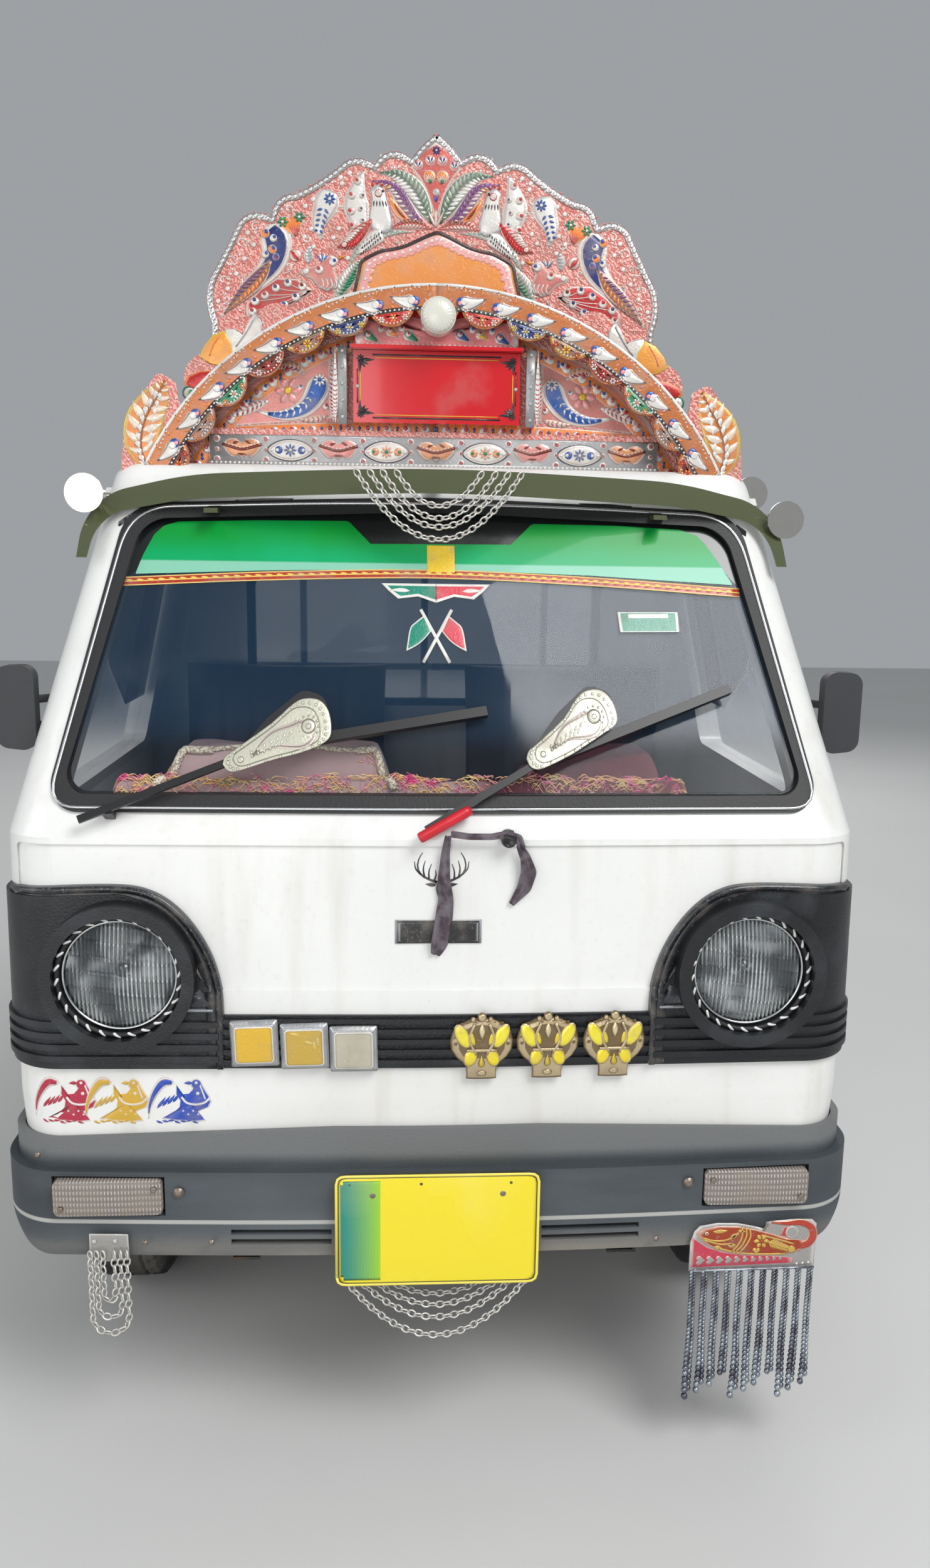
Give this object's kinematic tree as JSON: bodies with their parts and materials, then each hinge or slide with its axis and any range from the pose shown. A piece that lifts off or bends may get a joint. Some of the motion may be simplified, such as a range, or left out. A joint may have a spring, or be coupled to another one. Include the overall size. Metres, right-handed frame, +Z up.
{
  "type": "decorated mini pickup truck",
  "caption": "Small cab-over pickup with a painted, scalloped roof crown, hanging chains and beads, a drop-side bed, opening doors, steered front wheels and rolling wheels.",
  "frame": {"origin": "on the ground under the middle of the truck's length and width", "axes": "+Z up, -Y towards the front bumper, +X towards the truck's left side"},
  "size_m": [1.48, 3.24, 2.2568],
  "materials": {
    "white_paint": "gloss",
    "chassis_black": "satin",
    "engine_grey": "rough",
    "axle_iron": "rough",
    "tank_black": "satin",
    "exhaust_steel": "dull",
    "clear_glass": "clear",
    "seal_rubber": "matt",
    "black_plastic": "grained",
    "dash_plastic": "grained",
    "wheel_plastic": "satin",
    "column_plastic": "satin",
    "seat_vinyl": "vinyl",
    "dash_cloth": "woven",
    "lamp_glass": "fluted",
    "bumper_plastic": "faded",
    "plate_metal": "gloss",
    "chain_steel": "bright",
    "wiper_black": "satin",
    "tinted_acrylic": "gloss",
    "rim_steel": "satin",
    "tyre_rubber": "matt",
    "knuckle_iron": "rough",
    "deck_paint": "worn",
    "gate_paint": "gloss",
    "lamp_red": "gloss",
    "flap_rubber": "matt",
    "crown_paint": "embossed",
    "crown_steel": "dull",
    "sign_red": "gloss",
    "lamp_white": "gloss",
    "horn_chrome": "polished"
  },
  "bodies": {
    "truck": {"bed_deck": "deck_paint", "bed_head_board": "deck_paint", "cab_back_panel": "white_paint", "cab_floor": "white_paint", "cab_frame": "white_paint", "cab_glass": "clear_glass", "cab_nose": "white_paint", "cab_roof": "white_paint", "cab_side_left": "white_paint", "cab_side_right": "white_paint", "chassis_frame": "chassis_black", "crown_arch": "crown_paint", "crown_board": "crown_paint", "crown_fan": "crown_paint", "crown_lamp": "lamp_white", "crown_struts": "crown_steel", "crown_wings": "crown_paint", "dash_cloth": "dash_cloth", "dashboard": "dash_plastic", "engine_block": "engine_grey", "exhaust": "exhaust_steel", "front_bumper": "bumper_plastic", "front_plates": "plate_metal", "front_suspension": "axle_iron", "fuel_tank": "tank_black", "grille_centre": "black_plastic", "hanging_chains": "chain_steel", "headlamps": "lamp_glass", "lamp_surrounds": "black_plastic", "mud_flaps": "flap_rubber", "rear_axle": "axle_iron", "rear_lamps": "lamp_red", "roof_horns": "horn_chrome", "roof_visor": "tinted_acrylic", "seats": "seat_vinyl", "sign_box": "sign_red", "steering_column": "column_plastic", "window_seals": "seal_rubber", "wipers": "wiper_black"},
    "door_left": {"door_left": "white_paint", "door_glass_left": "clear_glass", "door_trim_left": "black_plastic"},
    "door_right": {"door_right": "white_paint", "door_glass_right": "clear_glass", "door_trim_right": "black_plastic"},
    "side_gate_left": {"side_gate_left": "gate_paint"},
    "side_gate_right": {"side_gate_right": "gate_paint"},
    "tailgate": {"tailgate": "gate_paint"},
    "steering_wheel": {"steering_wheel": "wheel_plastic"},
    "knuckle_left": {"knuckle_left": "knuckle_iron"},
    "knuckle_right": {"knuckle_right": "knuckle_iron"},
    "wheel_front_left": {"rim_front_left": "rim_steel", "tyre_front_left": "tyre_rubber"},
    "wheel_rear_left": {"rim_rear_left": "rim_steel", "tyre_rear_left": "tyre_rubber"},
    "wheel_front_right": {"rim_front_right": "rim_steel", "tyre_front_right": "tyre_rubber"},
    "wheel_rear_right": {"rim_rear_right": "rim_steel", "tyre_rear_right": "tyre_rubber"}
  },
  "joints": [
    {"name": "steer_left", "type": "hinge", "parent": "truck", "child": "knuckle_left", "pos_m": [0.534, -0.975, 0.15], "axis": [-0.1506, 0, 0.9886], "range_deg": [-33, 33]},
    {"name": "roll_front_left", "type": "hinge", "parent": "knuckle_left", "child": "wheel_front_left", "pos_m": [0.6025, -0.975, 0.268], "axis": [1, 0, 0], "continuous": true},
    {"name": "roll_rear_left", "type": "hinge", "parent": "truck", "child": "wheel_rear_left", "pos_m": [0.6, 0.865, 0.268], "axis": [1, 0, 0], "continuous": true},
    {"name": "door_left_hinge", "type": "hinge", "parent": "truck", "child": "door_left", "pos_m": [0.693, -1.38, 0.845], "axis": [0, 0, -1], "range_deg": [0, 65]},
    {"name": "side_gate_left_hinge", "type": "hinge", "parent": "truck", "child": "side_gate_left", "pos_m": [0.693, 0.6, 0.652], "axis": [0, 1, 0], "range_deg": [0, 170]},
    {"name": "steer_right", "type": "hinge", "parent": "truck", "child": "knuckle_right", "pos_m": [-0.534, -0.975, 0.15], "axis": [0.1506, 0, 0.9886], "range_deg": [-33, 33]},
    {"name": "roll_front_right", "type": "hinge", "parent": "knuckle_right", "child": "wheel_front_right", "pos_m": [-0.6025, -0.975, 0.268], "axis": [1, 0, 0], "continuous": true},
    {"name": "roll_rear_right", "type": "hinge", "parent": "truck", "child": "wheel_rear_right", "pos_m": [-0.6, 0.865, 0.268], "axis": [1, 0, 0], "continuous": true},
    {"name": "door_right_hinge", "type": "hinge", "parent": "truck", "child": "door_right", "pos_m": [-0.693, -1.38, 0.845], "axis": [0, 0, 1], "range_deg": [0, 65]},
    {"name": "side_gate_right_hinge", "type": "hinge", "parent": "truck", "child": "side_gate_right", "pos_m": [-0.693, 0.6, 0.652], "axis": [0, -1, 0], "range_deg": [0, 170]},
    {"name": "tailgate_hinge", "type": "hinge", "parent": "truck", "child": "tailgate", "pos_m": [0, 1.611, 0.652], "axis": [-1, 0, 0], "range_deg": [0, 170]},
    {"name": "steering_wheel_turn", "type": "hinge", "parent": "truck", "child": "steering_wheel", "pos_m": [-0.3, -1.18, 1.01], "axis": [0, 0.6429, 0.766], "range_deg": [-470, 470]}
  ],
  "couplings": [
    {"joint": "steer_right", "follows": "steer_left", "ratio": 1},
    {"joint": "steering_wheel_turn", "follows": "steer_left", "ratio": 14}
  ]
}
